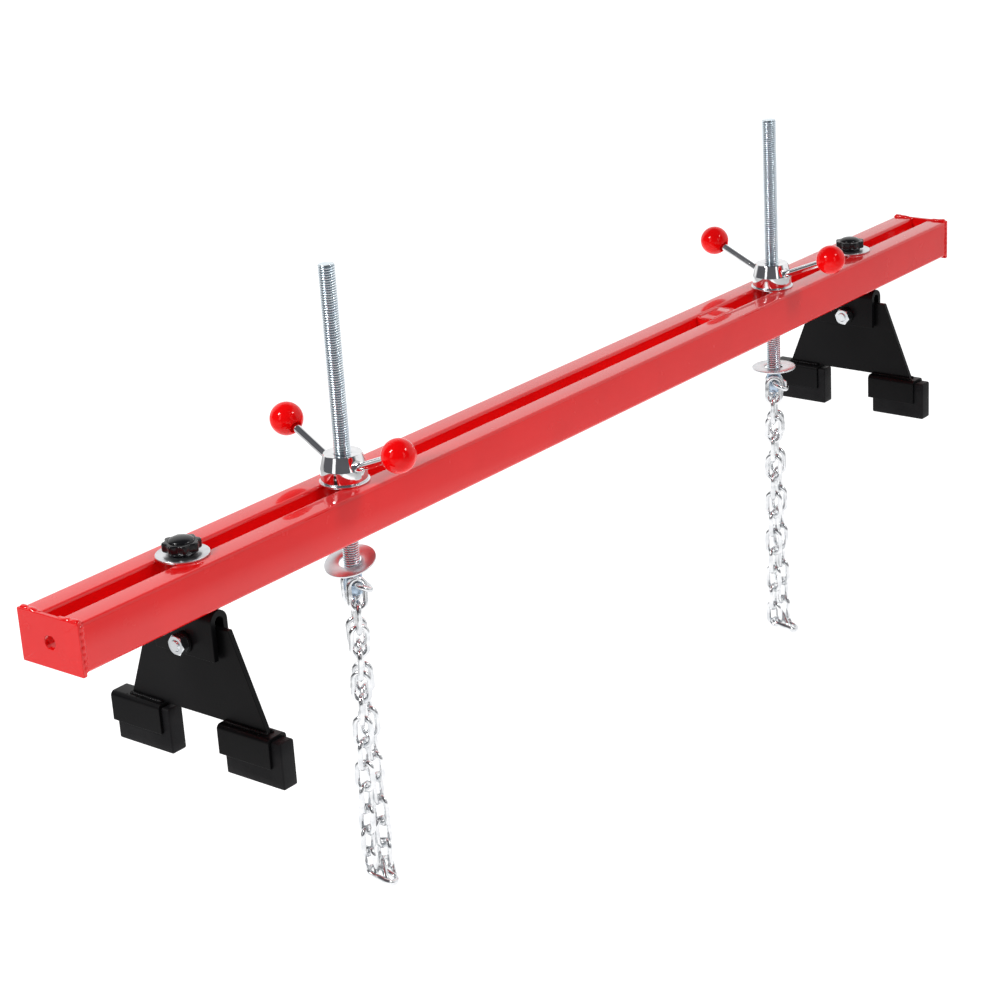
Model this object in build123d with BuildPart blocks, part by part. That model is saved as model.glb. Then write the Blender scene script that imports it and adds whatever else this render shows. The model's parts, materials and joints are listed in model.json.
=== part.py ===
from build123d import *
import math
import os

os.makedirs("parts", exist_ok=True)

# All sizes in millimetres. X runs along the beam, Y across it, Z up.
# The origin is under the middle of the beam, level with the soles of the four feet.

TOP = 194.0             # top of the rails above the soles
BEAM_LENGTH = 1450.0
SLOT_WIDTH = 21.0
RAIL_WIDTH = 25.5
RAIL_HEIGHT = 44.0
RAIL_WALL = 2.5
RAIL_CORNER = 3.5

END_PLATE_THICK = 4.0
END_PLATE_WIDTH = 73.0
END_PLATE_RISE = 1.0    # how far it stands above the rails
END_PLATE_HEIGHT = 47.5
END_HOLE_R = 6.5

SPACER_START = 235.0
SPACER_LENGTH = 45.0
SPACER_THICK = 8.0
SPACER_DROP = 1.5

LEG_X = {"left": -571.0, "right": 549.0}
SCREW_X = {"left": -362.5, "right": 374.0}
SCREW_DROP = {"left": 0.0, "right": 13.0}      # the right screw is wound further down
LEVER_ANGLE = {"left": -100.6, "right": -96.3}
CHAIN_ANGLE = {"left": -120.0, "right": -148.0}
CHAIN_TWIST = {"left": -5.3, "right": -2.5}     # degrees from one link to the next

# Leg: clamping knob, stud, saddle, pivot, plate and feet
KNOB_WASHER_R = 23.75
WASHER_THICK = 2.0
STUD_R = 5.0
STUD_TOP = 11.0         # above the rails
KNOB_LOBES = 8
KNOB_LOBE_R = 4.2
KNOB_LOBE_PITCH_R = 13.1
KNOB_CORE_R = 13.6
KNOB_STAR_BOTTOM = 5.0
KNOB_STAR_TOP = 13.0
KNOB_DOME_R = 10.9
KNOB_DOME_RISE = 4.0
KNOB_SKIRT_R = 11.5
INSERT_R = 7.5
SADDLE_LENGTH = 71.0
SADDLE_HALF = 10.3
SADDLE_WALL = 5.5
SADDLE_BOTTOM = 45.0    # depth of its lower edge below the underside of the rails
PIVOT_Z = 117.0
PIVOT_R = 5.0
NUT_ACROSS_FLATS = 17.0
NUT_THICK = 8.0
PIVOT_WASHER_R = 10.0
LEG_PLATE_THICK = 5.3
LEG_PLATE_TOP = 134.3
LEG_PLATE_BOTTOM = 46.5
LEG_PLATE_TOP_HALF = 47.6
LEG_PLATE_BOTTOM_HALF = 82.4
SHOE_LENGTH = 61.0
SHOE_WALL = 3.0
SHOE_DROP = 28.0
PAD_LENGTH = 68.0
PAD_THICK = 17.0
PAD_TOP = 43.4

# Screw: rod, eye, hub nut, levers, balls and washers
ROD_R = 7.94
ROD_TOP = 204.7         # above the rails
ROD_BOTTOM = -90.8
EYE_WIDTH = 16.0
EYE_THICK = 8.0
EYE_BOTTOM = -113.0
EYE_HOLE_Z = -97.5
EYE_HOLE_R = 5.2
HUB_BASE_R = 22.0
HUB_TOP_R = 18.25
HUB_BASE_TOP = 14.4
HUB_TOP = 28.0
HUB_WASHER_R = 23.65
LEVER_R = 4.0
LEVER_FOOT_R = 21.2     # where the lever's axis leaves the cone
LEVER_FOOT_Z = 17.4
BALL_R = 16.0
BALL_RADIUS_OUT = 83.1
BALL_Z = 42.8
LOOSE_WASHER_R = 24.75
LOOSE_WASHER_HOLE_R = 10.75
LOOSE_WASHER_Z = {"left": -79.0, "right": -96.0}
LOOSE_WASHER_LEAN = {"left": (-1.0, 1.2, 2.2, -17.0), "right": (0.0, 0.0, 0.0, 0.0)}  # shift, tilt

# Chain: welded links of 5.5 mm wire in a closed loop
WIRE_R = 2.75
LINK_BEND_R = 7.75      # centre line of the bend
LINK_STRAIGHT = 14.0
LINK_INNER_HALF = 12.0
LINK_SPACING = 23.4
LINKS_PER_STRAND = 13
LINK_PLAY = 0.3
EYE_SPREAD = 8.6        # offset of each strand where it meets the top and the closing link
STRAND_SPREAD = 10.8
TOP_LINK_DROOP = 28.0
# The two links that close the loop lie over to one side. Each has its centre's offset along the
# last spread, square to it and up from the strands' ends, then its heading, rise and roll.
CLOSING_LINKS = (
    ((4.6, 11.7, -1.1), -68.9, 19.4, 5.4),
    ((-5.3, 9.7, -1.7), -121.2, 31.8, 48.1),
)


def export(builder, label):
    builder.part.label = label
    export_step(builder.part, f"parts/{label}.step")


def direction(angle, elevation=0.0):
    flat = math.cos(math.radians(elevation))
    return Vector(
        flat * math.cos(math.radians(angle)),
        flat * math.sin(math.radians(angle)),
        math.sin(math.radians(elevation)),
    )


# ---------------------------------------------------------------- beam

rail_length = BEAM_LENGTH - 2 * END_PLATE_THICK
rail_y = (SLOT_WIDTH + RAIL_WIDTH) / 2

for place, sign in (("front", -1), ("back", 1)):
    with BuildPart() as rail:
        with BuildSketch(Plane.YZ.offset(-rail_length / 2)):
            with Locations((sign * rail_y, TOP - RAIL_HEIGHT / 2)):
                RectangleRounded(RAIL_WIDTH, RAIL_HEIGHT, RAIL_CORNER)
                RectangleRounded(
                    RAIL_WIDTH - 2 * RAIL_WALL,
                    RAIL_HEIGHT - 2 * RAIL_WALL,
                    RAIL_CORNER - RAIL_WALL,
                    mode=Mode.SUBTRACT,
                )
        extrude(amount=rail_length)
    export(rail, f"rail_{place}")

for side, start in (("left", -BEAM_LENGTH / 2), ("right", BEAM_LENGTH / 2 - END_PLATE_THICK)):
    with BuildPart() as end_plate:
        with BuildSketch(Plane.YZ.offset(start)):
            with Locations((0, TOP + END_PLATE_RISE - END_PLATE_HEIGHT / 2)):
                RectangleRounded(END_PLATE_WIDTH, END_PLATE_HEIGHT, 1.5)
                Circle(END_HOLE_R, mode=Mode.SUBTRACT)
        extrude(amount=END_PLATE_THICK)
    export(end_plate, f"end_plate_{side}")

with BuildPart() as slot_spacer:
    with BuildSketch(Plane.XY.offset(TOP - SPACER_DROP - SPACER_THICK)):
        with Locations((SPACER_START + SPACER_LENGTH / 2, 0)):
            Rectangle(SPACER_LENGTH, SLOT_WIDTH)
    extrude(amount=SPACER_THICK)
    chamfer(slot_spacer.faces().sort_by(Axis.Z)[-1].edges().filter_by(Axis.Y), length=1.0)
export(slot_spacer, "slot_spacer")

# ---------------------------------------------------------------- legs

saddle_top = TOP - RAIL_HEIGHT - 0.05
bend_z = saddle_top - SADDLE_HALF
saddle_inner = SADDLE_HALF - SADDLE_WALL
shoe_top = LEG_PLATE_BOTTOM
shoe_half = PAD_THICK / 2 + SHOE_WALL

for side, leg_x in LEG_X.items():
    with BuildPart() as knob_washer:
        with BuildSketch(Plane.XY.offset(TOP + 0.05)):
            with Locations((leg_x, 0)):
                Circle(KNOB_WASHER_R)
                Circle(STUD_R + 0.4, mode=Mode.SUBTRACT)
        extrude(amount=WASHER_THICK)
    export(knob_washer, f"knob_washer_{side}")

    # The knob's skirt stands on the washer; its cavity holds the threaded insert.
    with BuildPart() as knob:
        with BuildSketch(Plane.XY.offset(TOP + WASHER_THICK + 0.1)):
            with Locations((leg_x, 0)):
                Circle(KNOB_SKIRT_R)
        extrude(amount=KNOB_STAR_BOTTOM - WASHER_THICK)
        with BuildSketch(Plane.XY.offset(TOP + KNOB_STAR_BOTTOM)):
            with Locations((leg_x, 0)):
                Circle(KNOB_CORE_R)
                with PolarLocations(KNOB_LOBE_PITCH_R, KNOB_LOBES):
                    Circle(KNOB_LOBE_R)
        extrude(amount=KNOB_STAR_TOP - KNOB_STAR_BOTTOM)
        chamfer(knob.faces().sort_by(Axis.Z)[-1].edges(), length=1.0)
        with BuildSketch(Plane(origin=(leg_x, 0, TOP + KNOB_STAR_TOP), x_dir=(1, 0, 0), z_dir=(0, -1, 0))):
            with BuildLine():
                Line((0, -1), (0, KNOB_DOME_RISE))
                ThreePointArc(
                    (0, KNOB_DOME_RISE),
                    (KNOB_DOME_R * 0.62, KNOB_DOME_RISE * 0.66),
                    (KNOB_DOME_R, 0),
                )
                Line((KNOB_DOME_R, 0), (KNOB_DOME_R, -1))
                Line((KNOB_DOME_R, -1), (0, -1))
            make_face()
        revolve(axis=Axis((leg_x, 0, 0), (0, 0, 1)))
        with BuildSketch(Plane.XY.offset(TOP + WASHER_THICK + 0.1)):
            with Locations((leg_x, 0)):
                Circle(INSERT_R + 0.05)
        extrude(amount=STUD_TOP - WASHER_THICK + 0.55, mode=Mode.SUBTRACT)
    export(knob, f"knob_{side}")

    with BuildPart() as knob_insert:
        with BuildSketch(Plane.XY.offset(TOP + WASHER_THICK + 0.1)):
            with Locations((leg_x, 0)):
                Circle(INSERT_R)
                Circle(STUD_R + 0.05, mode=Mode.SUBTRACT)
        extrude(amount=STUD_TOP - WASHER_THICK + 0.5)
    export(knob_insert, f"knob_insert_{side}")

    # The stud is riveted through the crown of the saddle.
    with BuildPart() as leg_stud:
        with BuildSketch(Plane.XY.offset(saddle_top - SADDLE_WALL + 0.5)):
            with Locations((leg_x, 0)):
                Circle(STUD_R)
        extrude(amount=TOP + STUD_TOP - saddle_top + SADDLE_WALL - 0.5)
        chamfer(leg_stud.faces().sort_by(Axis.Z)[-1].edges(), length=0.8)
    export(leg_stud, f"leg_stud_{side}")

    with BuildPart() as saddle:
        with BuildSketch(Plane(origin=(leg_x, SADDLE_LENGTH / 2, 0), z_dir=(0, 1, 0), x_dir=(-1, 0, 0))):
            with BuildLine():
                Line((-SADDLE_HALF, saddle_top + 0.05 - SADDLE_BOTTOM), (-SADDLE_HALF, bend_z))
                ThreePointArc((-SADDLE_HALF, bend_z), (0, saddle_top), (SADDLE_HALF, bend_z))
                Line((SADDLE_HALF, bend_z), (SADDLE_HALF, saddle_top + 0.05 - SADDLE_BOTTOM))
                Line(
                    (SADDLE_HALF, saddle_top + 0.05 - SADDLE_BOTTOM),
                    (saddle_inner, saddle_top + 0.05 - SADDLE_BOTTOM),
                )
                Line((saddle_inner, saddle_top + 0.05 - SADDLE_BOTTOM), (saddle_inner, bend_z))
                ThreePointArc(
                    (saddle_inner, bend_z),
                    (0, saddle_top - SADDLE_WALL),
                    (-saddle_inner, bend_z),
                )
                Line((-saddle_inner, bend_z), (-saddle_inner, saddle_top + 0.05 - SADDLE_BOTTOM))
                Line(
                    (-saddle_inner, saddle_top + 0.05 - SADDLE_BOTTOM),
                    (-SADDLE_HALF, saddle_top + 0.05 - SADDLE_BOTTOM),
                )
            make_face()
        extrude(amount=-SADDLE_LENGTH)
        with BuildSketch(Plane.XY.offset(bend_z)):
            with Locations((leg_x, 0)):
                Circle(STUD_R)
        extrude(amount=SADDLE_HALF + 1, mode=Mode.SUBTRACT)
        with BuildSketch(Plane.YZ.offset(leg_x - SADDLE_HALF - 1)):
            with Locations((0, PIVOT_Z)):
                Circle(PIVOT_R + 0.05)
        extrude(amount=2 * SADDLE_HALF + 2, mode=Mode.SUBTRACT)
    export(saddle, f"saddle_{side}")

    # The pivot bolt's head is on the right face of the saddle, its nut on the left.
    with BuildPart() as pivot_bolt:
        with BuildSketch(Plane.YZ.offset(leg_x - SADDLE_HALF - NUT_THICK - 3.5)):
            with Locations((0, PIVOT_Z)):
                Circle(PIVOT_R)
        extrude(amount=2 * SADDLE_HALF + NUT_THICK + 3.5)
        chamfer(pivot_bolt.faces().sort_by(Axis.X)[0].edges(), length=1.2)
        with BuildSketch(Plane.YZ.offset(leg_x + SADDLE_HALF)):
            with Locations((0, PIVOT_Z)):
                RegularPolygon(NUT_ACROSS_FLATS / 2, 6, major_radius=False, rotation=12)
        extrude(amount=6.4)
    export(pivot_bolt, f"pivot_bolt_{side}")

    with BuildPart() as pivot_washer:
        with BuildSketch(Plane.YZ.offset(leg_x - SADDLE_HALF - WASHER_THICK)):
            with Locations((0, PIVOT_Z)):
                Circle(PIVOT_WASHER_R)
                Circle(PIVOT_R + 0.25, mode=Mode.SUBTRACT)
        extrude(amount=WASHER_THICK)
    export(pivot_washer, f"pivot_washer_{side}")

    with BuildPart() as pivot_nut:
        with BuildSketch(Plane.YZ.offset(leg_x - SADDLE_HALF - WASHER_THICK - NUT_THICK)):
            with Locations((0, PIVOT_Z)):
                RegularPolygon(NUT_ACROSS_FLATS / 2, 6, major_radius=False, rotation=22)
                Circle(PIVOT_R, mode=Mode.SUBTRACT)
        extrude(amount=NUT_THICK)
    export(pivot_nut, f"pivot_nut_{side}")

    with BuildPart() as leg_plate:
        with BuildSketch(Plane.YZ.offset(leg_x - LEG_PLATE_THICK / 2)):
            with BuildLine():
                Polyline(
                    (-LEG_PLATE_BOTTOM_HALF, LEG_PLATE_BOTTOM),
                    (LEG_PLATE_BOTTOM_HALF, LEG_PLATE_BOTTOM),
                    (LEG_PLATE_TOP_HALF, LEG_PLATE_TOP),
                    (-LEG_PLATE_TOP_HALF, LEG_PLATE_TOP),
                    close=True,
                )
            make_face()
            with Locations((0, PIVOT_Z)):
                Circle(PIVOT_R + 0.05, mode=Mode.SUBTRACT)
        extrude(amount=LEG_PLATE_THICK)
    export(leg_plate, f"leg_plate_{side}")

    for place, shoe_y, pad_y in (
        ("front", -30.0 - SHOE_LENGTH, -102.4),
        ("back", 102.1 - SHOE_LENGTH, 31.9),
    ):
        shoe_plane = Plane(origin=(leg_x, shoe_y, 0), x_dir=(-1, 0, 0), z_dir=(0, 1, 0))
        with BuildPart() as shoe:
            with BuildSketch(shoe_plane):
                with Locations((0, shoe_top - SHOE_DROP / 2)):
                    Rectangle(2 * shoe_half, SHOE_DROP)
            extrude(amount=SHOE_LENGTH)
            fillet(shoe.edges().filter_by(Axis.Y).group_by(Axis.Z)[-1], radius=SHOE_WALL + 1.5)
            with BuildSketch(shoe_plane):
                with Locations((0, PAD_TOP - SHOE_DROP / 2)):
                    Rectangle(PAD_THICK, SHOE_DROP)
            extrude(amount=SHOE_LENGTH, mode=Mode.SUBTRACT)
        export(shoe, f"shoe_{place}_{side}")

        with BuildPart() as pad:
            with BuildSketch():
                with Locations((leg_x, pad_y + PAD_LENGTH / 2)):
                    RectangleRounded(PAD_THICK, PAD_LENGTH, 1.0)
            extrude(amount=PAD_TOP)
        export(pad, f"pad_{place}_{side}")

# ---------------------------------------------------------------- screws

lever_rise = math.degrees(math.atan2(BALL_Z - LEVER_FOOT_Z, BALL_RADIUS_OUT - LEVER_FOOT_R))
lever_reach = math.hypot(BALL_Z - LEVER_FOOT_Z, BALL_RADIUS_OUT - LEVER_FOOT_R)


def lever_plane(screw_x, angle):
    foot = Vector(screw_x, 0, TOP + LEVER_FOOT_Z) + direction(angle) * LEVER_FOOT_R
    return Plane(origin=foot, x_dir=direction(angle + 90), z_dir=direction(angle, lever_rise))


for side, screw_x in SCREW_X.items():
    drop = SCREW_DROP[side]
    screw_axis = Axis((screw_x, 0, 0), (0, 0, 1))
    lever_planes = {
        "front": lever_plane(screw_x, LEVER_ANGLE[side]),
        "back": lever_plane(screw_x, LEVER_ANGLE[side] + 180),
    }

    with BuildPart() as hub_washer:
        with BuildSketch(Plane.XY.offset(TOP + 0.05)):
            with Locations((screw_x, 0)):
                Circle(HUB_WASHER_R)
                Circle(ROD_R + 0.8, mode=Mode.SUBTRACT)
        extrude(amount=WASHER_THICK)
    export(hub_washer, f"hub_washer_{side}")

    with BuildPart() as hub_nut:
        with BuildSketch(Plane(origin=(screw_x, 0, TOP), x_dir=(1, 0, 0), z_dir=(0, -1, 0))):
            with BuildLine():
                Polyline(
                    (ROD_R + 0.06, WASHER_THICK + 0.1),
                    (HUB_BASE_R, WASHER_THICK + 0.1),
                    (HUB_BASE_R, HUB_BASE_TOP),
                    (HUB_TOP_R, HUB_TOP),
                    (ROD_R + 0.06, HUB_TOP),
                    close=True,
                )
            make_face()
        revolve(axis=screw_axis)
        chamfer(
            hub_nut.edges().filter_by(GeomType.CIRCLE).group_by(Axis.Z)[-1].sort_by(SortBy.RADIUS)[-1],
            length=0.6,
        )
        for plane in lever_planes.values():
            with BuildSketch(plane.offset(-0.9)):
                Circle(6.5)
            extrude(amount=8, mode=Mode.SUBTRACT)
            with BuildSketch(plane.offset(-9.05)):
                Circle(LEVER_R + 0.05)
            extrude(amount=12, mode=Mode.SUBTRACT)
    export(hub_nut, f"hub_nut_{side}")

    for place, plane in lever_planes.items():
        with BuildPart() as lever:
            with BuildSketch(plane.offset(-9.0)):
                Circle(LEVER_R)
            extrude(amount=9.0 + lever_reach + 7.0)
        export(lever, f"lever_{place}_{side}")

        with BuildPart() as ball:
            with Locations(plane.offset(lever_reach)):
                Sphere(BALL_R)
            with BuildSketch(plane.offset(lever_reach - BALL_R - 1)):
                Circle(LEVER_R + 0.05)
            extrude(amount=BALL_R + 8.05, mode=Mode.SUBTRACT)
            with BuildSketch(plane.offset(lever_reach - BALL_R - 1)):
                Circle(6.0)
            extrude(amount=5.0, mode=Mode.SUBTRACT)
        export(ball, f"ball_{place}_{side}")

    with BuildPart() as threaded_rod:
        with BuildSketch(Plane.XY.offset(TOP + ROD_BOTTOM - drop)):
            with Locations((screw_x, 0)):
                Circle(ROD_R)
        extrude(amount=ROD_TOP - ROD_BOTTOM)
        chamfer(threaded_rod.faces().sort_by(Axis.Z)[-1].edges(), length=1.2)
    export(threaded_rod, f"threaded_rod_{side}")

    # The eye is a flat tongue under the rod; the chain's top link passes through its hole.
    across = direction(CHAIN_ANGLE[side])
    eye_plane = Plane(
        origin=Vector(screw_x, 0, TOP - drop) - across * (EYE_THICK / 2),
        x_dir=across.cross(Vector(0, 0, -1)),
        z_dir=across,
    )
    with BuildPart() as rod_eye:
        with BuildSketch(eye_plane):
            with Locations((0, (ROD_BOTTOM + EYE_BOTTOM) / 2)):
                Rectangle(EYE_WIDTH, ROD_BOTTOM - EYE_BOTTOM)
            with Locations((0, EYE_HOLE_Z)):
                Circle(EYE_HOLE_R, mode=Mode.SUBTRACT)
        extrude(amount=EYE_THICK)
        fillet(rod_eye.edges().filter_by(Axis((0, 0, 0), across)).group_by(Axis.Z)[0], radius=5.0)
    export(rod_eye, f"rod_eye_{side}")

    shift_x, shift_y, tilt_x, tilt_y = LOOSE_WASHER_LEAN[side]
    washer_centre = Location((screw_x + shift_x, shift_y, TOP + LOOSE_WASHER_Z[side]))
    washer_location = washer_centre * Rotation(tilt_x, tilt_y, 0)
    with BuildPart() as loose_washer:
        with BuildSketch(Plane(washer_location).offset(-WASHER_THICK / 2)):
            Circle(LOOSE_WASHER_R)
            Circle(LOOSE_WASHER_HOLE_R, mode=Mode.SUBTRACT)
        extrude(amount=WASHER_THICK)
    export(loose_washer, f"loose_washer_{side}")

# ---------------------------------------------------------------- chains

with BuildPart() as link:
    with BuildLine(Plane.XZ):
        half = LINK_STRAIGHT / 2
        Line((LINK_BEND_R, -half), (LINK_BEND_R, half))
        CenterArc((0, half), LINK_BEND_R, 0, 180)
        Line((-LINK_BEND_R, half), (-LINK_BEND_R, -half))
        CenterArc((0, -half), LINK_BEND_R, 180, 180)
    with BuildSketch(Plane.XY.offset(-half)):
        with Locations((LINK_BEND_R, 0)):
            Circle(WIRE_R)
    sweep()
LINK = link.part


def link_at(centre, long_axis, normal):
    across = long_axis.cross(normal) * -1
    return LINK.moved(Plane(origin=centre, x_dir=across, z_dir=long_axis).location)


def strand_point(side, sign, step):
    # Where a strand passes from one link to the next; step 0 is the top link.
    angle = CHAIN_ANGLE[side] + CHAIN_TWIST[side] * step
    at_end = step in (0, LINKS_PER_STRAND)
    spread = EYE_SPREAD if at_end else STRAND_SPREAD
    return direction(angle) * (sign * spread) + Vector(0, 0, -LINK_SPACING * step)


for side, screw_x in SCREW_X.items():
    hook_z = TOP - SCREW_DROP[side] + EYE_HOLE_Z - EYE_HOLE_R + WIRE_R + LINK_PLAY
    first_top = hook_z + WIRE_R + LINK_PLAY
    start = Vector(screw_x, 0, first_top)
    across = direction(CHAIN_ANGLE[side])
    outward = direction(CHAIN_ANGLE[side] + 90, -TOP_LINK_DROOP)

    pieces = {"upper": [], "middle": [], "lower": []}
    top_centre = Vector(screw_x, 0, hook_z) + outward * LINK_BEND_R
    pieces["upper"].append(link_at(top_centre, across, across.cross(outward)))

    for sign in (1, -1):
        for number in range(1, LINKS_PER_STRAND + 1):
            upper_point = start + strand_point(side, sign, number - 1)
            lower_point = start + strand_point(side, sign, number)
            long_axis = (upper_point - lower_point).normalized()
            centre = upper_point - long_axis * LINK_INNER_HALF
            angle = CHAIN_ANGLE[side] + CHAIN_TWIST[side] * (number - 0.5) + 90 * (number - 1)
            wander = 7.0 * math.sin(2.1 * number + sign) if 1 < number < LINKS_PER_STRAND else 0.0
            flat = direction(angle + wander)
            normal = (flat - long_axis * flat.dot(long_axis)).normalized()
            group = "upper" if number <= 4 else "middle" if number <= 8 else "lower"
            pieces[group].append(link_at(centre, long_axis, normal))

    last_angle = CHAIN_ANGLE[side] + CHAIN_TWIST[side] * LINKS_PER_STRAND
    strand_end = start + Vector(0, 0, -LINK_SPACING * LINKS_PER_STRAND)
    for (along, square, rise), turn, slope, roll in CLOSING_LINKS:
        offset = direction(last_angle) * along + direction(last_angle + 90) * square + Vector(0, 0, rise)
        long_axis = direction(last_angle + turn, slope)
        upward = (Vector(0, 0, 1) - long_axis * long_axis.Z).normalized()
        sideways = long_axis.cross(upward)
        normal = upward * math.cos(math.radians(roll)) + sideways * math.sin(math.radians(roll))
        pieces["lower"].append(link_at(strand_end + offset, long_axis, normal))

    for group, links in pieces.items():
        with BuildPart() as chain:
            for piece in links:
                add(piece)
        export(chain, f"chain_{group}_{side}")
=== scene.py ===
import bpy
import bmesh
import json
import math
import random
from mathutils import Matrix, Vector, noise


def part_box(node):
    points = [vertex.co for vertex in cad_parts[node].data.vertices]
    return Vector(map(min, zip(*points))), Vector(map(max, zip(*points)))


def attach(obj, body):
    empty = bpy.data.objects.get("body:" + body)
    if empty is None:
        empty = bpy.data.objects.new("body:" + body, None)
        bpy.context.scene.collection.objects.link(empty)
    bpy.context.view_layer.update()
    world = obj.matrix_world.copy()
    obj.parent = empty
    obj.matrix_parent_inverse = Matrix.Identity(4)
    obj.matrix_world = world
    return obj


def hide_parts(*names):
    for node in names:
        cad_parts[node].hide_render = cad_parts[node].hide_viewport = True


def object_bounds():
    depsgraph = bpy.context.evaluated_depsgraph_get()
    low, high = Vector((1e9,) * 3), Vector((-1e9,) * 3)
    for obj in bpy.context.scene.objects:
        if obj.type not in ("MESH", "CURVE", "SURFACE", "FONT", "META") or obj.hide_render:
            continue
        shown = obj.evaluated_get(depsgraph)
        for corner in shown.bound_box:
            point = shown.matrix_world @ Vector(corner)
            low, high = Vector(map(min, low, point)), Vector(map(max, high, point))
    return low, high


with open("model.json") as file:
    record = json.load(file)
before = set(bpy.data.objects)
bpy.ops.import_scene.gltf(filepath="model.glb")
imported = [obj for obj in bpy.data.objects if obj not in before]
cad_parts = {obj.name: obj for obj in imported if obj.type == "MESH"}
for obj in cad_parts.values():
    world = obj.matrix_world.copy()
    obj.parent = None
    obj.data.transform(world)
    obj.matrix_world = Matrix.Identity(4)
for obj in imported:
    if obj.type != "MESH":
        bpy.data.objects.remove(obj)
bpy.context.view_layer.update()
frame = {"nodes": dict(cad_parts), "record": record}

MM = 0.001
UP = Vector((0, 0, 1))
random.seed(7)


# ------------------------------------------------------------------ frame

def mid(node):
    low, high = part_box(node)
    return (Vector(low) + Vector(high)) / 2


def low(node):
    return Vector(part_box(node)[0])


def high(node):
    return Vector(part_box(node)[1])


def joint(name):
    return next(j for j in frame["record"]["behaviour"]["joints"] if j["name"] == name)


def extent(node):
    return high(node) - low(node)


rail_top = high("rail_front").z
rail_under = low("rail_front").z


# ------------------------------------------------------------------ materials

def material(name):
    mat = bpy.data.materials.new(name)
    mat.use_nodes = True
    nodes = mat.node_tree.nodes
    bsdf = nodes["Principled BSDF"]
    return mat, mat.node_tree, bsdf


def new_node(tree, kind, **values):
    node = tree.nodes.new(kind)
    for key, value in values.items():
        if key in node.inputs:
            node.inputs[key].default_value = value
        else:
            setattr(node, key, value)
    return node


def object_noise(tree, scale, detail=3.0, stretch=(1, 1, 1)):
    coords = new_node(tree, "ShaderNodeTexCoord")
    mapping = new_node(tree, "ShaderNodeMapping")
    mapping.inputs["Scale"].default_value = stretch
    tree.links.new(coords.outputs["Object"], mapping.inputs["Vector"])
    tex = new_node(tree, "ShaderNodeTexNoise", Scale=scale, Detail=detail)
    tree.links.new(mapping.outputs["Vector"], tex.inputs["Vector"])
    return tex


def ramp(tree, source, stops):
    node = tree.nodes.new("ShaderNodeValToRGB")
    while len(node.color_ramp.elements) < len(stops):
        node.color_ramp.elements.new(0.5)
    for element, (place, colour) in zip(node.color_ramp.elements, stops):
        element.position = place
        element.color = (*colour, 1) if len(colour) == 3 else colour
    tree.links.new(source, node.inputs["Fac"])
    return node


def spread(tree, source, start, end):
    node = new_node(tree, "ShaderNodeMapRange")
    node.inputs["To Min"].default_value = start
    node.inputs["To Max"].default_value = end
    tree.links.new(source, node.inputs["Value"])
    return node


def bump(tree, bsdf, source, distance, strength=1.0):
    node = new_node(tree, "ShaderNodeBump", Distance=distance, Strength=strength)
    tree.links.new(source, node.inputs["Height"])
    tree.links.new(node.outputs["Normal"], bsdf.inputs["Normal"])
    return node


def painted(name, dark, light, rough, coat, peel, coat_rough=0.06, specular=0.5):
    mat, tree, bsdf = material(name)
    tint = object_noise(tree, 14.0, 4.0)
    colours = ramp(tree, tint.outputs["Fac"], [(0.3, dark), (0.7, light)])
    tree.links.new(colours.outputs["Color"], bsdf.inputs["Base Color"])
    smear = object_noise(tree, 60.0, 4.0)
    tree.links.new(spread(tree, smear.outputs["Fac"], *rough).outputs["Result"], bsdf.inputs["Roughness"])
    bsdf.inputs["Coat Weight"].default_value = coat
    bsdf.inputs["Coat Roughness"].default_value = coat_rough
    bsdf.inputs["Specular IOR Level"].default_value = specular
    peel_tex = object_noise(tree, 420.0, 2.0)
    bump(tree, bsdf, peel_tex.outputs["Fac"], peel)
    return mat


def metal(
    name, dark, light, rough, grain_scale, stretch=(1, 1, 1), depth=0.00002, anisotropic=0.0, painted_root_shade=None,
):
    mat, tree, bsdf = material(name)
    bsdf.inputs["Metallic"].default_value = 1.0
    bsdf.inputs["Anisotropic"].default_value = anisotropic
    tint = object_noise(tree, 90.0, 4.0)
    colours = ramp(tree, tint.outputs["Fac"], [(0.32, dark), (0.68, light)])
    tree.links.new(colours.outputs["Color"], bsdf.inputs["Base Color"])
    if painted_root_shade:
        # painted shade: the roots of the thread are darkened to stand in for the shade in its grooves; the
        # mesh says how high each point stands
        rise = new_node(tree, "ShaderNodeAttribute", attribute_name="crest")
        root_shade_mask = ramp(tree, rise.outputs["Fac"], [(0.08, (0, 0, 0)), (0.6, (1, 1, 1))])
        blend = new_node(tree, "ShaderNodeMix", data_type="RGBA")
        mix_sockets = [socket for socket in blend.inputs if socket.type == "RGBA"]
        mix_sockets[0].default_value = (*painted_root_shade, 1)
        tree.links.new(root_shade_mask.outputs["Color"], blend.inputs[0])
        tree.links.new(colours.outputs["Color"], mix_sockets[1])
        result = next(socket for socket in blend.outputs if socket.type == "RGBA")
        tree.links.new(result, bsdf.inputs["Base Color"])
    grain = object_noise(tree, grain_scale, 5.0, stretch)
    tree.links.new(spread(tree, grain.outputs["Fac"], *rough).outputs["Result"], bsdf.inputs["Roughness"])
    bump(tree, bsdf, grain.outputs["Fac"], depth)
    return mat


def plastic(name, dark, light, rough, coat, depth, scale, specular=0.5):
    mat, tree, bsdf = material(name)
    tint = object_noise(tree, 40.0, 3.0)
    colours = ramp(tree, tint.outputs["Fac"], [(0.35, dark), (0.65, light)])
    tree.links.new(colours.outputs["Color"], bsdf.inputs["Base Color"])
    grain = object_noise(tree, scale, 4.0)
    tree.links.new(spread(tree, grain.outputs["Fac"], *rough).outputs["Result"], bsdf.inputs["Roughness"])
    bsdf.inputs["Coat Weight"].default_value = coat
    bsdf.inputs["Coat Roughness"].default_value = 0.03
    bsdf.inputs["Specular IOR Level"].default_value = specular
    bump(tree, bsdf, grain.outputs["Fac"], depth)
    return mat


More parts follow.
